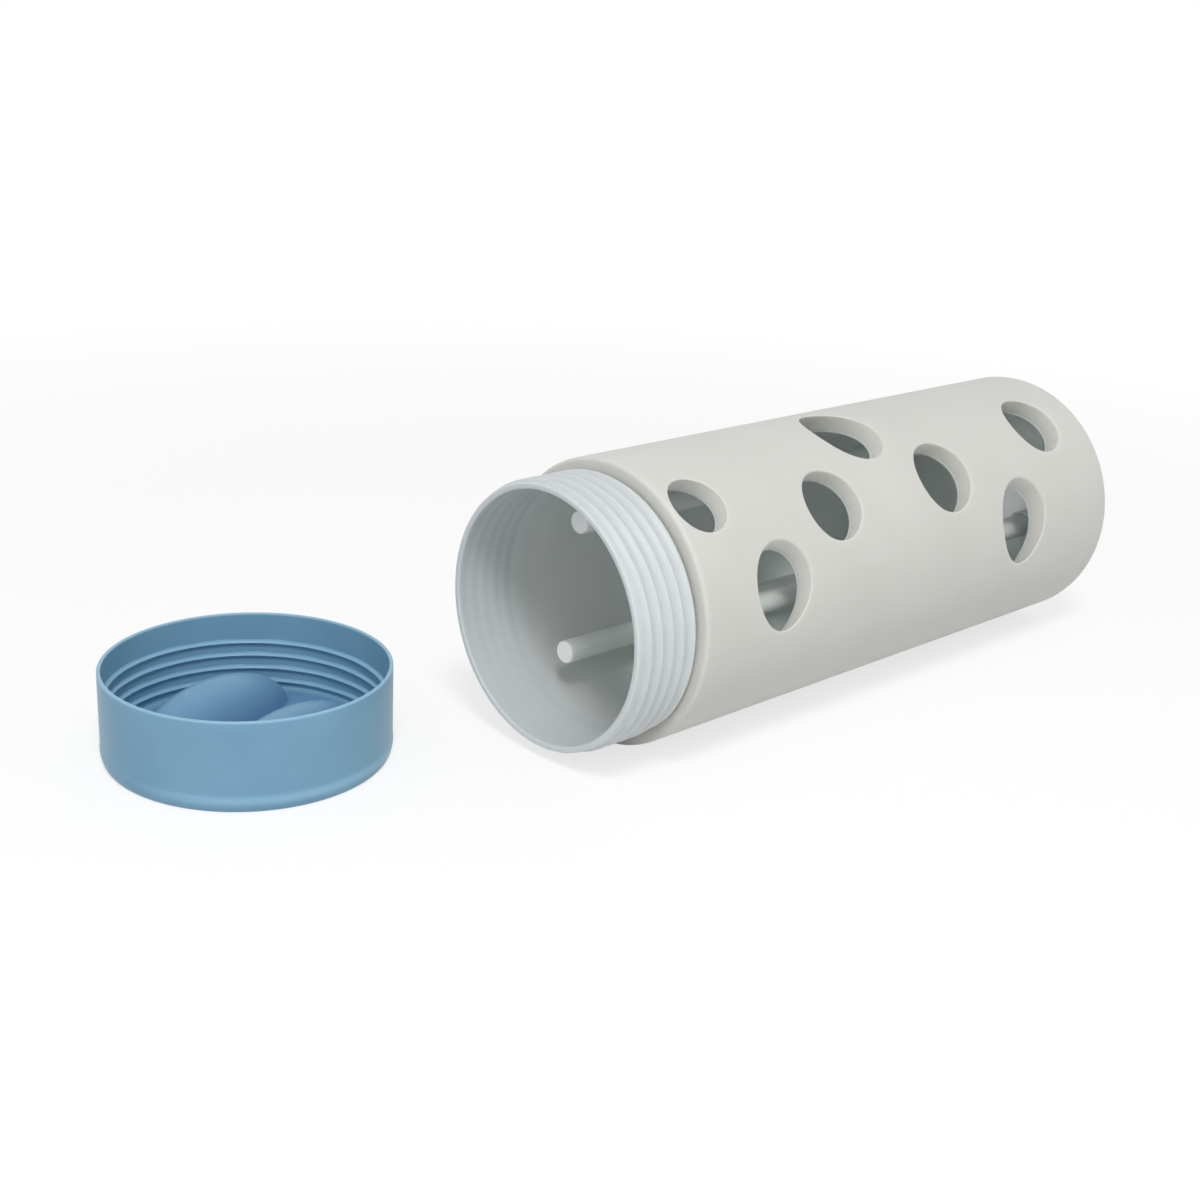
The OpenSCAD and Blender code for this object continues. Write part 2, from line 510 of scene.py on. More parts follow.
@dataclass(frozen=True)
class RoundAxis:
    """An axis that round pieces are built on, with the direction from which angles are counted."""

    origin: Vector
    along: Vector
    zero: Vector
    quarter: Vector

    def point(self, along: float, radius: float, degrees: float = 0.0) -> Vector:
        """Finds a point by its place on the axis.

        Args:
            along: distance along the axis.
            radius: distance from the axis.
            degrees: angle round the axis.

        Returns:
            The point.
        """
        turn = math.radians(degrees)
        out = self.zero * math.cos(turn) + self.quarter * math.sin(turn)
        return self.origin + self.along * along + out * radius

    def polar(self, spot: Vector) -> tuple[float, float, float]:
        """Finds a point's place on the axis.

        Args:
            spot: the point.

        Returns:
            Distance along the axis, radius and angle in degrees.
        """
        offset = spot - self.origin
        first = offset.dot(self.zero)
        second = offset.dot(self.quarter)
        return offset.dot(self.along), math.hypot(first, second), math.degrees(math.atan2(second, first))

    def spin(self, outline: Sequence[Point], steps: int) -> BMesh:
        """Spins an outline of (along, radius) points round the axis into a shell.

        Args:
            outline: the points in order; an end with no radius closes on the axis.
            steps: segments round the axis.

        Returns:
            A new bmesh with outward faces.
        """
        shell = bmesh.new()
        verts = [shell.verts.new(self.point(along, radius)) for along, radius in outline]
        edges = [shell.edges.new(pair) for pair in zip(verts, verts[1:])]
        bmesh.ops.spin(
            shell,
            geom=verts + edges,
            cent=self.origin,
            axis=self.along,
            angle=FULL_TURN,
            steps=steps,
            use_merge=True,
        )
        bmesh.ops.remove_doubles(shell, verts=shell.verts, dist=SPUN_MERGE)
        bmesh.ops.dissolve_degenerate(shell, edges=shell.edges, dist=NO_LENGTH)
        bmesh.ops.recalc_face_normals(shell, faces=shell.faces)
        return shell


def arc(centre: Point, radius: float, start: float, end: float, steps: int = 6) -> list[Point]:
    """Points of an arc in an outline.

    Args:
        centre: the arc's middle, as (along, radius).
        radius: the arc's own radius.
        start, end: angles in degrees, from the direction along the axis towards outwards.
        steps: segments.

    Returns:
        The points in order, ends included.
    """
    turns = [math.radians(start + (end - start) * step / steps) for step in range(steps + 1)]
    return [(centre[0] + radius * math.cos(turn), centre[1] + radius * math.sin(turn)) for turn in turns]


def rows(start: float, end: float, spacing: float) -> list[float]:
    """Evenly spaced places from start to end, both included, at about that spacing."""
    count = max(1, round(abs(end - start) / spacing))
    return [start + (end - start) * step / count for step in range(count + 1)]


def shares(steps: int, first: int = 1) -> list[float]:
    """Ends of equal steps from 0 to 1, from the first one that is asked for."""
    return [step / steps for step in range(first, steps + 1)]


def close_seams(shell: BMesh) -> None:
    """Joins the points that meet after holes are cut, and turns all faces outwards."""
    bmesh.ops.remove_doubles(shell, verts=shell.verts, dist=CUT_MERGE)
    bmesh.ops.recalc_face_normals(shell, faces=shell.faces)


@dataclass(frozen=True)
class Thread:
    """One rounded right-hand screw ridge on a neck or in a cap."""

    pitch: float
    height: float
    width: float
    start: float
    turns: float
    phase: float
    slant: float
    fullness: float
    fade: float = 0.06

    def rise(self, along: float, degrees: float) -> float:
        """Height of the ridge over its wall at a place.

        Args:
            along: distance along the axis.
            degrees: angle round the axis.

        Returns:
            The height, 0 between ridges.
        """
        lead = (self.slant * (degrees - self.phase) / 360.0) % 1.0
        turn = round((along - self.start) / self.pitch - lead) + lead
        if turn < 0.0 or turn > self.turns:
            return 0.0
        offset = abs(along - self.start - turn * self.pitch) / (0.5 * self.width)
        if offset >= 1.0:
            return 0.0
        ends = min(1.0, turn / self.fade, (self.turns - turn) / self.fade)
        return self.height * ends * (0.5 + 0.5 * math.cos(math.pi * offset)) ** self.fullness


@dataclass(frozen=True)
class RingOpening:
    """Opens one wall of a shell, evens out the faces round it and carries its edge on, ring by ring.

    Offsets are a point's distances from the opening's middle, as shares of its size.
    """

    offsets: Callable[[Vector], Point]
    edge: Ring
    onto: Callable[[Vector], Vector]
    cuts: int = 2
    eased_rows: int = 3
    eased_rounds: int = 12
    smooth_reach: int = 4
    smooth_rounds: int = 2

    def lies_on(self, spot: Vector) -> bool:
        """True for a point of the wall."""
        return (self.onto(spot) - spot).length < ON_WALL

    def takes(self, face: BMFace) -> bool:
        """True for a face of the wall that reaches into the opening."""
        near = any(math.hypot(*self.offsets(vert.co)) < 1.0 for vert in face.verts)
        return near and all(self.lies_on(vert.co) for vert in face.verts)

    def rough_turn(self, spot: Vector) -> float:
        """Angle of a point round the opening, in radians."""
        first, second = self.offsets(spot)
        return math.atan2(second, first)

    def cut(self, shell: BMesh, rings: Sequence[Ring], apex: Vector | None = None) -> None:
        """Deletes the faces that are in the way and extrudes the edge through the rings.

        Args:
            shell: the shell to open.
            rings: for each new ring, the place of its point at an angle round the opening.
            apex: a point that closes the last ring, if any.
        """
        doomed = {face for face in shell.faces if self.takes(face)}
        border = [
            edge
            for edge in {edge for face in doomed for edge in face.edges}
            if sum(face in doomed for face in edge.link_faces) == 1
        ]
        bmesh.ops.delete(shell, geom=list(doomed), context="FACES")
        turns = self._smooth_turns(border)
        self._ease(shell, turns)
        bridges: list[BMEdge] = []
        for ring in rings:
            made = bmesh.ops.extrude_edge_only(shell, edges=border)["geom"]
            fresh = {item for item in made if isinstance(item, BMVert)}
            edges = [item for item in made if isinstance(item, BMEdge)]
            border = [edge for edge in edges if all(vert in fresh for vert in edge.verts)]
            if not bridges:
                links = [(edge, edge.other_vert(vert)) for vert in fresh for edge in vert.link_edges]
                bridges = [edge for edge, other in links if other not in fresh]
            turns = self._carried_turns(fresh, turns)
            for vert, turn in turns.items():
                vert.co = ring(turn)
        if apex is not None:
            bmesh.ops.pointmerge(shell, verts=list(turns), merge_co=apex)
        self._fill_in(shell, bridges)

    def _ease(self, shell: BMesh, turns: dict[BMVert, float]) -> None:
        """Puts the opening's ragged edge on its smooth curve and evens out the rows of faces round it.

        Args:
            shell: the shell that is opened.
            turns: the angle of each point of the edge.
        """
        for vert, turn in turns.items():
            vert.co = self.edge(turn)
        near = set(turns)
        for _ in range(self.eased_rows):
            near |= {edge.other_vert(vert) for vert in near for edge in vert.link_edges}
        free = []
        for vert in near - set(turns):
            around = {other for face in vert.link_faces for other in face.verts}
            if all(self.lies_on(other.co) for other in around):
                free.append(vert)
        for _ in range(self.eased_rounds):
            bmesh.ops.smooth_vert(
                shell, verts=free, factor=0.5, use_axis_x=True, use_axis_y=True, use_axis_z=True
            )
            for vert in free:
                vert.co = self.onto(vert.co)

    def _fill_in(self, shell: BMesh, bridges: Sequence[BMEdge]) -> None:
        """Splits the uneven faces round the first ring and puts the new points on the wall.

        Args:
            shell: the shell that is opened.
            bridges: the edges from the old border to the first ring.
        """
        made = bmesh.ops.subdivide_edges(shell, edges=list(bridges), cuts=self.cuts, use_grid_fill=True)
        for item in made["geom_inner"]:
            if isinstance(item, BMVert):
                item.co = self.onto(item.co)

    def _smooth_turns(self, border: Sequence[BMEdge]) -> dict[BMVert, float]:
        """Gives the points of a ragged ring smoothly growing angles, in the order of its edges.

        Args:
            border: the ring's edges.

        Returns:
            The angle of each point, in radians.
        """
        linked: dict[BMVert, list[BMVert]] = {}
        for edge in border:
            for vert in edge.verts:
                linked.setdefault(vert, []).append(edge.other_vert(vert))
        order = [next(iter(linked))]
        left = set(linked) - set(order)
        while left:
            order.append(next(vert for vert in linked[order[-1]] if vert in left))
            left.discard(order[-1])
        turns = [self.rough_turn(order[0].co)]
        for vert in order[1:]:
            turns.append(turns[-1] + math.remainder(self.rough_turn(vert.co) - turns[-1], FULL_TURN))
        if turns[-1] < turns[0]:
            order.reverse()
            turns.reverse()
        count = len(order)
        step = FULL_TURN / count
        drift = [turn - step * number for number, turn in enumerate(turns)]
        window = range(-self.smooth_reach, self.smooth_reach + 1)
        for _ in range(self.smooth_rounds):
            sums = [sum(drift[(number + near) % count] for near in window) for number in range(count)]
            drift = [total / len(window) for total in sums]
        return {vert: step * number + drift[number] for number, vert in enumerate(order)}

    @staticmethod
    def _carried_turns(verts: set[BMVert], before: dict[BMVert, float]) -> dict[BMVert, float]:
        """Gives each new point the angle of the point that it was extruded from.

        Args:
            verts: the new points.
            before: the angles of the ring before.

        Returns:
            The angle of each new point, in radians.
        """
        return {
            vert: before[other]
            for vert in verts
            for other in (edge.other_vert(vert) for edge in vert.link_edges)
            if other in before
        }


def bend(start: Vector, corner: Vector, end: Vector, share: float) -> Vector:
    """A point on the curve that leaves start towards corner and arrives at end."""
    return start * (1 - share) ** 2 + corner * (2 * share * (1 - share)) + end * share**2


@dataclass(frozen=True)
class Hole:
    """A round hole through the walls of the tube, cut straight along the mould's pull."""

    axis: RoundAxis
    along: float
    across: float
    radius: float
    pull: float

    @property
    def outward(self) -> Vector:
        """Direction in which the hole opens."""
        return self.axis.point(0.0, 1.0, self.pull) - self.axis.origin

    def on_wall(self, wall: Wall, reach: float, turn: float) -> Vector:
        """Point of a wall round the hole.

        Args:
            wall: radius of the wall at a distance along the tube.
            reach: distance from the hole's axis.
            turn: angle round the hole's axis, in radians.

        Returns:
            The point.
        """
        along = self.along + reach * math.cos(turn)
        across = self.across + reach * math.sin(turn)
        radius = wall(along)
        return self.axis.point(along, radius, self.pull + math.degrees(math.asin(across / radius)))

    def opening(self, wall: Wall, nominal: float, ahead: float, aside: float, slack: float) -> RingOpening:
        """The opening that this hole makes in one wall.

        Args:
            wall: radius of the wall at a distance along the tube.
            nominal: radius at which both walls of a shell are compared with the hole.
            ahead: room round the hole along the tube.
            aside: room round the hole across it.
            slack: distance from that room to the opening's smooth edge.

        Returns:
            The opening.
        """
        long, wide = self.radius + ahead, self.radius + aside

        def offsets(spot: Vector) -> Point:
            """Finds the offsets of a point from the hole's axis.

            Args:
                spot: a point of the shell.

            Returns:
                The offsets along the tube and across the pull, as shares of the room.
            """
            if abs(spot.x - self.axis.origin.x - self.along) > 2 * long:
                return OUT_OF_REACH
            along, _, degrees = self.axis.polar(spot)
            turn = math.radians(degrees - self.pull)
            if math.cos(turn) < 0:
                return OUT_OF_REACH
            return (along - self.along) / long, (nominal * math.sin(turn) - self.across) / wide

        def edge(turn: float) -> Vector:
            """Finds a point of the opening's smooth edge.

            Args:
                turn: angle round the hole, in radians.

            Returns:
                The point.
            """
            along = self.along + (long + slack) * math.cos(turn)
            across = self.across + (wide + slack) * math.sin(turn)
            return self.axis.point(along, wall(along), self.pull + math.degrees(math.asin(across / nominal)))

        def onto(spot: Vector) -> Vector:
            """The point of this wall above or below a point."""
            along, _, degrees = self.axis.polar(spot)
            return self.axis.point(along, wall(along), degrees)

        return RingOpening(offsets, edge, onto)

    def ring(self, wall: Wall, radius: float) -> Ring:
        """The hole's sharp edge on a wall."""
        return partial(self.on_wall, wall, radius)

    def rim(self, wall: Wall, radius: float, rounding: float, inwards: Vector, steps: int) -> list[Ring]:
        """Rings that turn from a wall's surface over a rounded rim into the hole.

        Args:
            wall: radius of the surface that the rim lies on.
            radius: radius of the hole in this wall.
            rounding: how far the rim reaches on the surface and into the hole.
            inwards: direction in which the hole leaves this surface.
            steps: segments of the rim.

        Returns:
            One function for each ring, from the surface to the hole's side.
        """

        def place(share: float, turn: float) -> Vector:
            """Point at a share of the way round the rim and an angle round the hole."""
            start, corner = (self.on_wall(wall, reach, turn) for reach in (radius + rounding, radius))
            return bend(start, corner, corner + inwards * rounding, share)

        return [partial(place, share) for share in shares(steps, 0)]


@dataclass(frozen=True)
class Dome:
    """Half an ellipsoid that rises from the cap's outer face, with a soft foot."""

    foot: Vector
    ahead: Vector
    half_l: float
    half_w: float
    height: float

    @property
    def aside(self) -> Vector:
        """Direction across the dome."""
        return UP.cross(self.ahead)

    @property
    def apex(self) -> Vector:
        """Its highest point."""
        return self.foot + UP * self.height

    def shrunk(self, inset: float) -> Dome:
        """The same dome, smaller all over."""
        return Dome(self.foot, self.ahead, self.half_l - inset, self.half_w - inset, self.height - inset)

    def place(self, level: float, turn: float, spread: float = 0.0) -> Vector:
        """Finds a point of the dome's skin, or beside it.

        Args:
            level: height of the point.
            turn: angle round the dome, in radians.
            spread: distance from the skin.

        Returns:
            The point.
        """
        share = math.sqrt(max(0.0, 1.0 - (level / self.height) ** 2))
        long = self.half_l * share + spread
        wide = self.half_w * share + spread
        ahead = self.ahead * (long * math.cos(turn))
        return self.foot + ahead + self.aside * (wide * math.sin(turn)) + UP * level

    def opening(self, level: float, room: float, slack: float) -> RingOpening:
        """The opening in a flat face at a level that the dome rises from.

        Args:
            level: height of the face.
            room: room round the dome.
            slack: distance from that room to the opening's smooth edge.

        Returns:
            The opening.
        """
        long = (self.place(level, 0.0) - self.foot).dot(self.ahead) + room
        wide = (self.place(level, 0.5 * math.pi) - self.foot).dot(self.aside) + room

        def offsets(spot: Vector) -> Point:
            """Offsets from the dome's middle, as shares of its size."""
            return (spot - self.foot).dot(self.ahead) / long, (spot - self.foot).dot(self.aside) / wide

        def edge(turn: float) -> Vector:
            """Point of the opening's smooth edge at an angle round the dome."""
            ahead = self.ahead * ((long + slack) * math.cos(turn))
            return self.foot + ahead + self.aside * ((wide + slack) * math.sin(turn)) + UP * level

        def onto(spot: Vector) -> Vector:
            """The point of the face above or below a point."""
            return Vector((spot.x, spot.y, level))

        return RingOpening(offsets, edge, onto)

    def rings(self, level: float, rounding: float, steps: int) -> list[Ring]:
        """Rings from a flat face over the soft foot and up the dome.

        Args:
            level: height of the face.
            rounding: size of the foot's rounding.
            steps: rings on the dome above the foot.

        Returns:
            One function for each ring.
        """

        def on_foot(share: float, turn: float) -> Vector:
            """Point at a share of the way over the foot and an angle round the dome."""
            start = self.place(level, turn, rounding)
            return bend(start, self.place(level, turn), self.place(level + rounding, turn), share)

        low = math.asin((level + rounding) / self.height)
        climb = 0.5 * math.pi - low
        levels = [self.height * math.sin(low + climb * share) for share in shares(steps + 1)[:-1]]
        feet = [partial(on_foot, share) for share in shares(FOOT_STEPS, 0)]
        return feet + [partial(self.place, high) for high in levels]


def add_piece(
    shell: BMesh, name: str, material: Material, body: Body, slot: Slot, nodes: Sequence[str]
) -> Object:
    """Turns a bmesh into a piece that rides on a body.

    Args:
        shell: the finished bmesh, which is freed.
        name: the piece's name.
        material: its finish.
        body: the body that it moves with.
        slot: the record's material slot; not used.
        nodes: the solids that it stands for.

    Returns:
        The new object.
    """
    for face in shell.faces:
        face.smooth = True
    mesh = bpy.data.meshes.new(name)
    shell.to_mesh(mesh)
    shell.free()
    mesh.set_sharp_from_angle(angle=SHARP)
    mesh.materials.append(material)
    piece = bpy.data.objects.new(name, mesh)
    bpy.context.scene.collection.objects.link(piece)
    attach(piece, body.value)
    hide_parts(*nodes)
    LOG.info("%s: %d faces", name, len(mesh.polygons))
    return piece


@dataclass(frozen=True)
class ToySizes:
    """Sizes that all pieces share, from the solids' boxes and the toy's own walls."""

    mouth: float
    length: float
    lip: float
    sleeve_r: float
    axis_y: float
    axis_z: float
    cap_x: float
    cap_y: float
    cap_r: float
    cap_h: float
    sleeve_wall: float = 4.0 * MM
    tube_wall: float = 0.6 * MM
    neck_wall: float = 1.5 * MM
    neck_groove: float = 0.7 * MM
    end_wall: float = 1.75 * MM
    fit: float = 0.05 * MM
    draft: float = math.tan(math.radians(0.3))
    pull: float = 43.0
    hole_step: float = 0.1 * MM
    thread_pitch: float = 3.4 * MM
    thread_h: float = 0.7 * MM
    hole_margins: Point = (9.5 * MM, 21.5 * MM)
    row_margins: Point = (1.1 * MM, 2.0 * MM)
    row_step: float = 1.4 * MM
    peg_setback: float = 18.2 * MM
    cap_wall: float = 1.05 * MM

    @classmethod
    def from_frame(cls) -> ToySizes:
        """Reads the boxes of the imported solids.

        Returns:
            The sizes.
        """
        tube_low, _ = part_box("inner_tube")
        low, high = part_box("outer_sleeve")
        cap_low, cap_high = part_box("screw_cap")
        return cls(
            mouth=tube_low[0],
            length=high[0] - tube_low[0],
            lip=low[0] - tube_low[0],
            sleeve_r=0.5 * (high[2] - low[2]),
            axis_y=0.5 * (low[1] + high[1]),
            axis_z=0.5 * (low[2] + high[2]),
            cap_x=0.5 * (cap_low[0] + cap_high[0]),
            cap_y=0.5 * (cap_low[1] + cap_high[1]),
            cap_r=0.5 * (cap_high[0] - cap_low[0]),
            cap_h=cap_high[2],
        )

    @property
    def axis(self) -> RoundAxis:
        """The tube's axis from its mouth, with angles counted up from the side."""
        return RoundAxis(Vector((self.mouth, self.axis_y, self.axis_z)), ALONG, NEAR_SIDE, UP)

    @property
    def tube_length(self) -> float:
        """Length of the tube inside the sleeve's closed end."""
        return self.length - self.sleeve_wall

    @property
    def bore_length(self) -> float:
        """Depth of the tube's bore."""
        return self.tube_length - self.end_wall

    @property
    def neck_r(self) -> float:
        """Radius of the neck between its thread ridges."""
        return self.bore(0.0) + self.neck_wall

    @property
    def peg_tip(self) -> float:
        """Place of the pegs' tips."""
        return self.mouth + self.peg_setback

    @property
    def cap_bore(self) -> float:
        """Inner radius of the cap's wall."""
        return self.cap_r - self.cap_wall

    def outside(self, along: float) -> float:
        """Radius of the sleeve's outer wall, the same all along."""
        return self.sleeve_r

    def sleeve_bore(self, along: float) -> float:
        """Inner radius of the sleeve at a distance from the mouth."""
        return self.sleeve_r - self.sleeve_wall - self.draft * along

    def tube_outside(self, along: float) -> float:
        """Outer radius of the tube under the sleeve at a distance from the mouth."""
        return self.sleeve_bore(along) - self.fit

    def bore(self, along: float) -> float:
        """Radius of the tapered bore at a distance from the mouth."""
        return self.tube_outside(along) - self.tube_wall

    def holes(self) -> list[Hole]:
        """Places the holes by share of the way, angle from the pull and radius in the sleeve.

        Returns:
            The seven holes, from the mouth on.
        """
        small, middle, large = 7.6 * MM, 9.3 * MM, 9.9 * MM
        first = self.lip + self.hole_margins[0]
        last = self.length - self.hole_margins[1]
        pattern = [
            (0.0, 11.0, small),
            (0.129, -27.0, middle),
            (0.308, -2.0, middle),
            (0.48, 31.0, large),
            (0.639, -2.0, large),
            (0.853, -29.0, large),
            (1.0, 12.0, middle),
        ]
        return [
            Hole(
                self.axis,
                first + (last - first) * place,
                self.sleeve_r * math.sin(math.radians(angle)),
                radius,
                self.pull,
            )
            for place, angle, radius in pattern
        ]

    def wall_rows(self) -> list[float]:
        """Places of the rows of faces that the sleeve and the tube share, along the perforated walls."""
        front, back = self.row_margins
        return rows(self.lip + front, self.length - self.sleeve_wall - back, self.row_step)


@dataclass(frozen=True)
class OuterSleeve:
    """The soft sleeve: a closed sock with a rounded lip and rounded hole rims."""

    sizes: ToySizes
    finish: SoftRubber
    steps: int = 160
    lip_r: float = 1.0 * MM
    inner_lip_r: float = 0.5 * MM
    end_r: float = 1.2 * MM
    rim_r: float = 0.8 * MM
    small_rim_r: float = 0.5 * MM
    rim_steps: int = 6
    small_hole: float = 8.0 * MM
    room: Point = (0.6 * MM, 0.7 * MM)
    small_room: Point = (0.1 * MM, 0.2 * MM)
    room_aside: float = 2.4 * MM
    end_row: float = 6.0 * MM

    def outline(self) -> list[Point]:
        """Draws half the outline, from the outside of the closed end round the lip to the inside.

        Returns:
            The points in order.
        """
        size = self.sizes
        end, lip, outer = size.length, size.lip, size.sleeve_r
        floor = end - size.sleeve_wall
        face = [(end, radius) for radius in rows(0.0, outer - self.end_r, self.end_row)[:-1]]
        edge = arc((end - self.end_r, outer - self.end_r), self.end_r, 0, 90)
        walls = size.wall_rows()
        outside = [(along, outer) for along in reversed(walls)]
        lip_edge = arc((lip + self.lip_r, outer - self.lip_r), self.lip_r, 90, 180)
        inner_at = lip + self.inner_lip_r
        inner_centre = inner_at, size.sleeve_bore(inner_at) + self.inner_lip_r
        inner_edge = arc(inner_centre, self.inner_lip_r, 180, 270)
        inside = [(along, size.sleeve_bore(along)) for along in [*walls, floor]]
        bottom_rows = rows(0.0, size.sleeve_bore(floor), self.end_row)[:-1]
        bottom = [(floor, radius) for radius in reversed(bottom_rows)]
        return face + edge + outside + lip_edge + inner_edge + inside + bottom

    def build(self) -> Object:
        """Models the sleeve and dresses it.

        Returns:
            The piece.
        """
        size = self.sizes
        shell = size.axis.spin(self.outline(), self.steps)
        nominal = 0.5 * (size.sleeve_r + size.sleeve_bore(0.5 * size.length))
        for hole in size.holes():
            small = hole.radius < self.small_hole
            rim = self.small_rim_r if small else self.rim_r
            ahead, slack = self.small_room if small else self.room
            room = rim + ahead, rim + self.room_aside, slack
            edge = hole.ring(size.sleeve_bore, hole.radius)
            rings = hole.rim(size.outside, hole.radius, rim, -hole.outward, self.rim_steps)
            hole.opening(size.outside, nominal, *room).cut(shell, [*rings, edge])
            hole.opening(size.sleeve_bore, nominal, *room).cut(shell, [edge])
        close_seams(shell)
        return add_piece(shell, "sleeve", self.finish.material(), Body.TUBE, Slot.SLEEVE, ["outer_sleeve"])


@dataclass(frozen=True)
class InnerTube:
    """The hard tube: threaded neck, tapered bore, closed end and the bosses for the pegs."""

    sizes: ToySizes
    finish: TubePlastic
    steps: int = 160
    rim_r: float = 0.4 * MM
    shoulder_r: float = 0.2 * MM
    hole_edge: float = 0.15 * MM
    boss_r: float = 4.05 * MM
    boss_bore: float = 3.15 * MM
    boss_length: float = 14.0 * MM
    boss_edge: float = 0.3 * MM
    hole_steps: int = 3
    hole_room: tuple[float, float, float] = (0.45 * MM, 1.0 * MM, 0.4 * MM)
    neck_row: float = 0.3 * MM
    bottom_row: float = 3.0 * MM
    end_row: float = 6.0 * MM

    @property
    def thread(self) -> Thread:
        """The neck's screw ridge.

        Returns:
            The ridge.
        """
        size = self.sizes
        return Thread(
            pitch=size.thread_pitch,
            height=size.thread_h,
            width=3.0 * MM,
            start=1.6 * MM,
            turns=4.72,
            phase=200.0,
            slant=-1.0,
            fullness=1.0,
        )

    @property
    def neck_end(self) -> float:
        """Distance from the mouth to the neck's shoulder."""
        return self.sizes.lip - self.sizes.neck_groove

    def outline(self) -> list[Point]:
        """Draws half the outline, from the closed end along the bore and back over the neck.

        Returns:
            The points in order.
        """
        size = self.sizes
        deep, end, root = size.bore_length, size.tube_length, size.neck_r
        walls = size.wall_rows()
        neck = rows(2 * self.rim_r, self.neck_end - self.shoulder_r, self.neck_row)
        bottom = [(deep, radius) for radius in rows(0.0, size.bore(deep), self.bottom_row)[:-1]]
        bore = [(along, size.bore(along)) for along in [deep, *reversed(walls), *reversed(neck)]]
        rim_in = arc((self.rim_r, size.bore(0.0) + self.rim_r), self.rim_r, 270, 180)
        rim_out = arc((self.rim_r, root - self.rim_r), self.rim_r, 180, 90)
        outside = [(along, root) for along in neck]
        shoulder_centre = self.neck_end - self.shoulder_r, root - self.shoulder_r
        shoulder = arc(shoulder_centre, self.shoulder_r, 90, 0, 3)[1:]
        body = [(along, size.tube_outside(along)) for along in [self.neck_end, *walls, end]]
        back_rows = rows(0.0, size.tube_outside(end), self.end_row)[:-1]
        back = [(end, radius) for radius in reversed(back_rows)]
        return bottom + bore + rim_in + rim_out + outside + shoulder + body + back

    def build(self, peg_places: Sequence[Point]) -> Object:
        """Models the tube and dresses it.

        Args:
            peg_places: radius and angle of each peg, where the bosses stand.

        Returns:
            The piece.
        """
        size = self.sizes
        shell = size.axis.spin(self.outline(), self.steps)
        nominal = size.tube_outside(0.5 * size.length)
        for hole in size.holes():
            radius = hole.radius - size.hole_step
            edge = hole.ring(size.tube_outside, radius)
            rings = hole.rim(size.bore, radius, self.hole_edge, hole.outward, self.hole_steps)
            hole.opening(size.bore, nominal, *self.hole_room).cut(shell, [*rings, edge])
            hole.opening(size.tube_outside, nominal, *self.hole_room).cut(shell, [edge])
        close_seams(shell)
        self._raise_thread(shell)
        for radius, degrees in peg_places:
            self._add_boss(shell, radius, degrees)
        return add_piece(shell, "tube", self.finish.material(), Body.TUBE, Slot.TUBE, ["inner_tube"])

    def _raise_thread(self, shell: BMesh) -> None:
        """Lifts the neck's outer face into the screw ridge.

        Args:
            shell: the tube's shell.
        """
        size = self.sizes
        thread = self.thread
        for vert in shell.verts:
            along, radius, degrees = size.axis.polar(vert.co)
            if along < self.neck_end and abs(radius - size.neck_r) < ON_ROOT:
                vert.co = size.axis.point(along, radius + thread.rise(along, degrees), degrees)

    def _add_boss(self, shell: BMesh, radius: float, degrees: float) -> None:
        """Adds the collar round a peg's foot.

        Args:
            shell: the tube's shell.
            radius: distance of the peg from the tube's axis.
            degrees: angle of the peg round it.
        """
        size = self.sizes
        foot = RoundAxis(size.axis.point(size.bore_length, radius, degrees), -ALONG, NEAR_SIDE, UP)
        sunk = -0.5 * size.end_wall
        edge = self.boss_edge
        top = self.boss_length - edge
        outline = [
            (sunk, self.boss_bore),
            (top, self.boss_bore),
            *arc((top, self.boss_bore + edge), edge, -90, 0, 3)[1:],
            *arc((top, self.boss_r - edge), edge, 0, 90, 3),
            (sunk, self.boss_r),
            (sunk, self.boss_bore),
        ]
        collar = foot.spin(outline, ROD_STEPS)
        mesh = bpy.data.meshes.new("boss")
        collar.to_mesh(mesh)
        collar.free()
        shell.from_mesh(mesh)
        bpy.data.meshes.remove(mesh)


@dataclass(frozen=True)
class Pegs:
    """The three pegs that hold treats back."""

    sizes: ToySizes
    finish: PegPlastic
    circle_r: float = 19.8 * MM
    tip_r: float = 2.8 * MM
    foot_r: float = 3.1 * MM
    edge_r: float = 0.5 * MM
    side_row: float = 8.0 * MM
    first_angle: float = -5.0
    names: tuple[str, str, str] = ("peg_near", "peg_upper", "peg_lower")

    def places(self) -> list[Point]:
        """Radius and angle of each peg on the tube's axis."""
        return [(self.circle_r, self.first_angle + 120.0 * number) for number in range(len(self.names))]

    def build(self) -> list[Object]:
        """Models the pegs and dresses them.

        Returns:
            The pieces.
        """
        size = self.sizes
        material = self.finish.material()
        length = size.bore_length - size.peg_setback
        taper = self.foot_r - self.tip_r
        tip = arc((self.edge_r, self.tip_r - self.edge_r), self.edge_r, 180, 90, 5)
        sides = [(along, self.tip_r + taper * along / length) for along in rows(0, length, self.side_row)[1:]]
        outline = [(0.0, 0.0), (0.0, 0.5 * self.tip_r), *tip, *sides, (length, 0.0)]
        pieces = []
        for name, (radius, degrees) in zip(self.names, self.places()):
            axis = RoundAxis(size.axis.point(size.peg_setback, radius, degrees), ALONG, NEAR_SIDE, UP)
            shell = axis.spin(outline, ROD_STEPS)
            pieces.append(add_piece(shell, name + "_rod", material, Body.TUBE, Slot.PEGS, [name]))
        return pieces


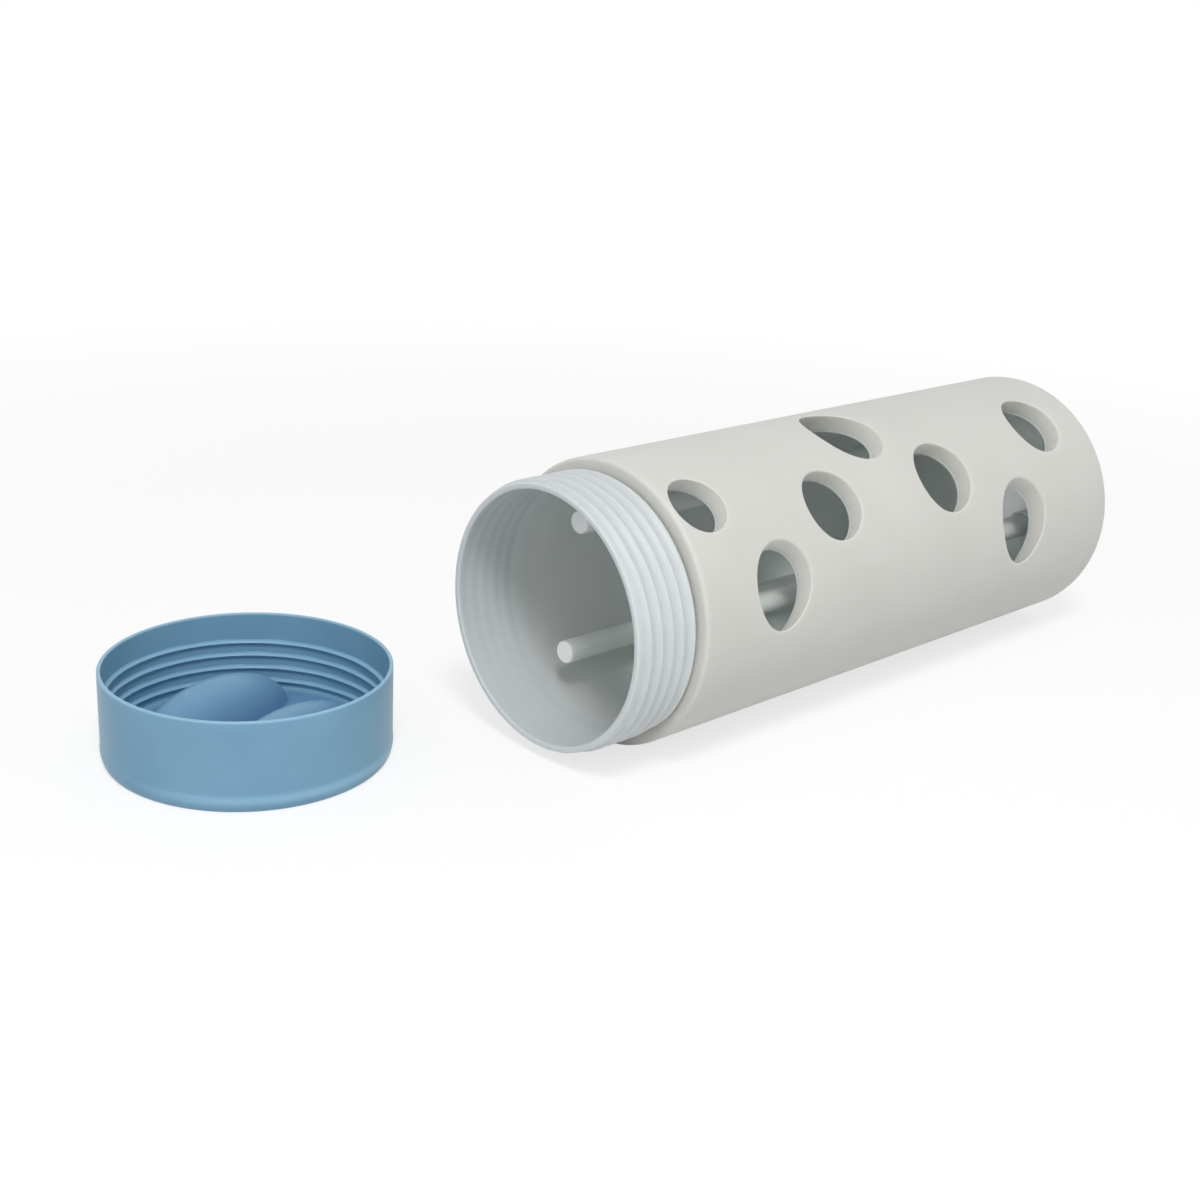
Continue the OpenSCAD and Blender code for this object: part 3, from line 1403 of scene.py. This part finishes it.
@dataclass(frozen=True)
class ScrewCap:
    """The screw cap: inside thread, rounded closed edge, and two finger pockets that bulge inside."""

    sizes: ToySizes
    finish: SatinPlastic
    steps: int = 192
    floor: float = 1.8 * MM
    bead_at: float = 3.2 * MM
    bead_rise: float = 0.12 * MM
    bead_soft: float = 0.8 * MM
    foot_lean: float = 0.3 * MM
    foot_r: float = 1.2 * MM
    rim_r: float = 0.3 * MM
    inner_edge_r: float = 0.6 * MM
    bulge_h: float = 13.7 * MM
    bulge_half_l: float = 24.5 * MM
    bulge_half_w: float = 8.2 * MM
    bulge_offset: float = 12.6 * MM
    bulge_foot_r: float = 1.0 * MM
    pocket_wall: float = 1.5 * MM
    pocket_edge_r: float = 0.8 * MM
    bar_turn: float = 12.0
    dome_steps: int = 14
    dome_room: float = 0.6 * MM
    dome_slack: float = 0.5 * MM
    face_row: float = 1.2 * MM
    thread_row: float = 0.22 * MM
    side_row: float = 3.0 * MM

    @property
    def axis(self) -> RoundAxis:
        """The cap's axis, up from the floor."""
        size = self.sizes
        return RoundAxis(Vector((size.cap_x, size.cap_y, 0)), UP, ALONG, -NEAR_SIDE)

    @property
    def thread(self) -> Thread:
        """The cap's screw ridge.

        Returns:
            The ridge.
        """
        return Thread(
            pitch=self.sizes.thread_pitch,
            height=0.8 * MM,
            width=1.3 * MM,
            start=3.063 * MM,
            turns=3.717,
            phase=-32.0,
            slant=1.0,
            fullness=0.55,
        )

    def outline(self) -> list[Point]:
        """Draws half the outline, from the middle of the floor over the rim to the outer face.

        Returns:
            The points in order.
        """
        corner_r, rim_r = self.inner_edge_r, self.rim_r
        bore, outer = self.sizes.cap_bore, self.sizes.cap_r
        side = outer - self.bead_rise
        rim_at = self.sizes.cap_h - rim_r
        floor = [(self.floor, radius) for radius in rows(0.0, bore - corner_r, self.face_row)[:-1]]
        corner = arc((self.floor + corner_r, bore - corner_r), corner_r, 180, 90)
        inside = [(along, bore) for along in rows(self.floor + corner_r, rim_at, self.thread_row)[1:-1]]
        rim = arc((rim_at, bore + rim_r), rim_r, -90, 0, 4) + arc((rim_at, side - rim_r), rim_r, 0, 90, 4)
        shoulder = self.bead_at + self.bead_soft
        outside = [(along, side) for along in rows(rim_at, shoulder, self.side_row)[1:]]
        face = [(0.0, radius) for radius in reversed(rows(0.0, outer - self.foot_r, self.face_row)[:-1])]
        return floor + corner + inside + rim + outside + self.foot() + face

    def foot(self) -> list[Point]:
        """Draws the soft bead and the leaning, rounded foot under it, down to the outer face.

        Returns:
            The points in order.
        """
        outer = self.sizes.cap_r
        low = 0.4 * self.bead_at
        points = []
        for share in shares(6):
            swell = share * share * (3.0 - 2.0 * share)
            along = self.bead_at + self.bead_soft * (1.0 - share)
            points.append((along, outer - self.bead_rise * (1.0 - swell)))
        for share in shares(5):
            points.append((self.bead_at + (low - self.bead_at) * share, outer - self.foot_lean * share**2))
        start = Vector((low, outer - self.foot_lean))
        corner = Vector((0.0, outer - 2.0 * self.foot_lean))
        end = Vector((0.0, outer - self.foot_r))
        return points + [tuple(bend(start, corner, end, share)) for share in shares(6)]

    def domes(self) -> list[Dome]:
        """Places the bulges, one on each side of the grip bar.

        Returns:
            The two bulges.
        """
        ahead = Matrix.Rotation(math.radians(self.bar_turn), 3, "Z") @ ALONG
        aside = UP.cross(ahead)
        return [
            Dome(self.axis.origin + aside * offset, ahead, self.bulge_half_l, self.bulge_half_w, self.bulge_h)
            for offset in (-self.bulge_offset, self.bulge_offset)
        ]

    def build(self) -> Object:
        """Models the cap and dresses it.

        Returns:
            The piece.
        """
        axis, thread, bore = self.axis, self.thread, self.sizes.cap_bore
        shell = axis.spin(self.outline(), self.steps)
        for vert in shell.verts:
            along, radius, degrees = axis.polar(vert.co)
            if abs(radius - bore) < ON_ROOT and along < self.sizes.cap_h - self.rim_r:
                vert.co = axis.point(along, radius - thread.rise(along, degrees), degrees)
        for bulge in self.domes():
            pocket = bulge.shrunk(self.pocket_wall)
            both = (bulge, self.floor, self.bulge_foot_r), (pocket, 0.0, self.pocket_edge_r)
            for dome, level, foot_r in both:
                rings = dome.rings(level, foot_r, self.dome_steps)
                dome.opening(level, foot_r + self.dome_room, self.dome_slack).cut(shell, rings, dome.apex)
        bmesh.ops.recalc_face_normals(shell, faces=shell.faces)
        return add_piece(shell, "cap", self.finish.material(), Body.CAP, Slot.CAP, ["screw_cap"])


@dataclass(frozen=True)
class Lamp:
    """A square soft lamp that shines at the middle of the stage."""

    name: str
    place: tuple[float, float, float]
    size: float
    watts: float

    def build(self) -> None:
        """Adds the lamp."""
        light = bpy.data.lights.new(self.name, "AREA")
        light.shape = "RECTANGLE"
        light.size = light.size_y = self.size
        light.energy = self.watts
        lamp = bpy.data.objects.new(self.name, light)
        lamp.location = self.place
        lamp.rotation_euler = (-lamp.location).to_track_quat("-Z", "Y").to_euler()
        bpy.context.scene.collection.objects.link(lamp)


@dataclass(frozen=True)
class Studio:
    """Pale floor, soft light and the camera."""

    floor_size: float = 6.0
    bounce: Colour = (0.74, 0.74, 0.74, 1.0)
    lift_at: Point = (0.22, 0.5)
    lift: Point = (0.7, 1.0)
    dome: float = 0.5
    lamps: tuple[Lamp, ...] = (
        Lamp("key", (-0.42, -0.50, 0.95), 0.28, 6.5),
        Lamp("front", (-1.05, -0.60, 0.45), 0.5, 1.2),
        Lamp("side", (0.40, -1.10, 0.50), 0.4, 0.9),
    )
    camera_at: tuple[float, float, float] = (-0.2966, -0.2921, 0.1729)
    look: tuple[float, float, float] = (0.6570, 0.6725, -0.3408)
    roll: float = 3.09
    lens: float = 50.82
    sensor: float = 36.0
    clip_start: float = 0.01

    def build(self) -> None:
        """Sets up the whole stage."""
        self._floor()
        self._world()
        for lamp in self.lamps:
            lamp.build()
        self._camera()
        bpy.context.scene.view_settings.view_transform = "Standard"

    def _floor(self) -> None:
        """Adds the white floor, which keeps the toy's shadow."""
        plane = bmesh.new()
        bmesh.ops.create_grid(plane, x_segments=1, y_segments=1, size=0.5 * self.floor_size)
        mesh = bpy.data.meshes.new("floor")
        plane.to_mesh(mesh)
        plane.free()
        graph = NodeGraph(bpy.data.materials.new("floor_white"))
        seen = self._seen_rays(graph)
        matte = graph.add("ShaderNodeBsdfDiffuse", {}, {"Color": self.bounce})
        pale = graph.add("ShaderNodeBsdfDiffuse", {}, {"Color": WHITE})
        glow = graph.add("ShaderNodeEmission", {}, {"Color": WHITE, "Strength": 1.0})
        away = graph.add("ShaderNodeVectorMath", {"operation": "LENGTH"}, {0: graph.place()}, "Value")
        lift = graph.spread(away, *self.lift_at, *self.lift)
        lifted = graph.add("ShaderNodeMixShader", {}, {0: lift, 1: pale, 2: glow})
        shown = graph.add("ShaderNodeMixShader", {}, {0: seen, 1: matte, 2: lifted})
        graph.add("ShaderNodeOutputMaterial", {}, {"Surface": shown})
        mesh.materials.append(graph.owner)
        floor = bpy.data.objects.new("floor", mesh)
        bpy.context.scene.collection.objects.link(floor)

    @staticmethod
    def _seen_rays(graph: NodeGraph) -> Wire:
        """Finds the rays that see the background directly, in a reflection or through a clear piece.

        Args:
            graph: the graph that asks.

        Returns:
            1 for such rays, or else 0.
        """
        kinds = ("Is Camera Ray", "Is Glossy Ray", "Is Transmission Ray")
        camera, glossy, clear = (graph.add("ShaderNodeLightPath", output=kind) for kind in kinds)
        return graph.spread(camera + glossy + clear, 0.0, 1.0)

    def _world(self) -> None:
        """Lights the toy evenly, and shows white behind it."""
        world = bpy.data.worlds.new("studio")
        bpy.context.scene.world = world
        graph = NodeGraph(world)
        dome = graph.add("ShaderNodeBackground", {}, {"Color": WHITE, "Strength": self.dome})
        shown = graph.add("ShaderNodeBackground", {}, {"Color": WHITE, "Strength": 1.0})
        sky = graph.add("ShaderNodeMixShader", {}, {0: self._seen_rays(graph), 1: dome, 2: shown})
        graph.add("ShaderNodeOutputWorld", {}, {"Surface": sky})

    def _camera(self) -> None:
        """Adds the camera at the photograph's angle."""
        data = bpy.data.cameras.new("camera")
        data.lens = self.lens
        data.sensor_width = self.sensor
        data.clip_start = self.clip_start
        camera = bpy.data.objects.new("camera", data)
        ahead = Vector(self.look).normalized()
        right = ahead.cross(UP).normalized()
        up = right.cross(ahead)
        turn = math.radians(self.roll)
        tilted_right = right * math.cos(turn) + up * math.sin(turn)
        tilted_up = up * math.cos(turn) - right * math.sin(turn)
        columns = Matrix((tilted_right, tilted_up, -ahead)).transposed()
        camera.matrix_world = Matrix.Translation(Vector(self.camera_at)) @ columns.to_4x4()
        bpy.context.scene.collection.objects.link(camera)
        bpy.context.scene.camera = camera


def main() -> None:
    """Builds and dresses every piece, then the stage."""
    logging.basicConfig(level=logging.INFO, format="%(name)s: %(message)s")
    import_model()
    sizes = ToySizes.from_frame()
    pegs = Pegs(sizes, PegPlastic(sizes=sizes))
    OuterSleeve(sizes, SoftRubber(sizes=sizes)).build()
    InnerTube(sizes, TubePlastic(sizes=sizes)).build(pegs.places())
    pegs.build()
    ScrewCap(sizes, SatinPlastic(sizes=sizes)).build()
    Studio().build()


if __name__ == "__main__":
    main()
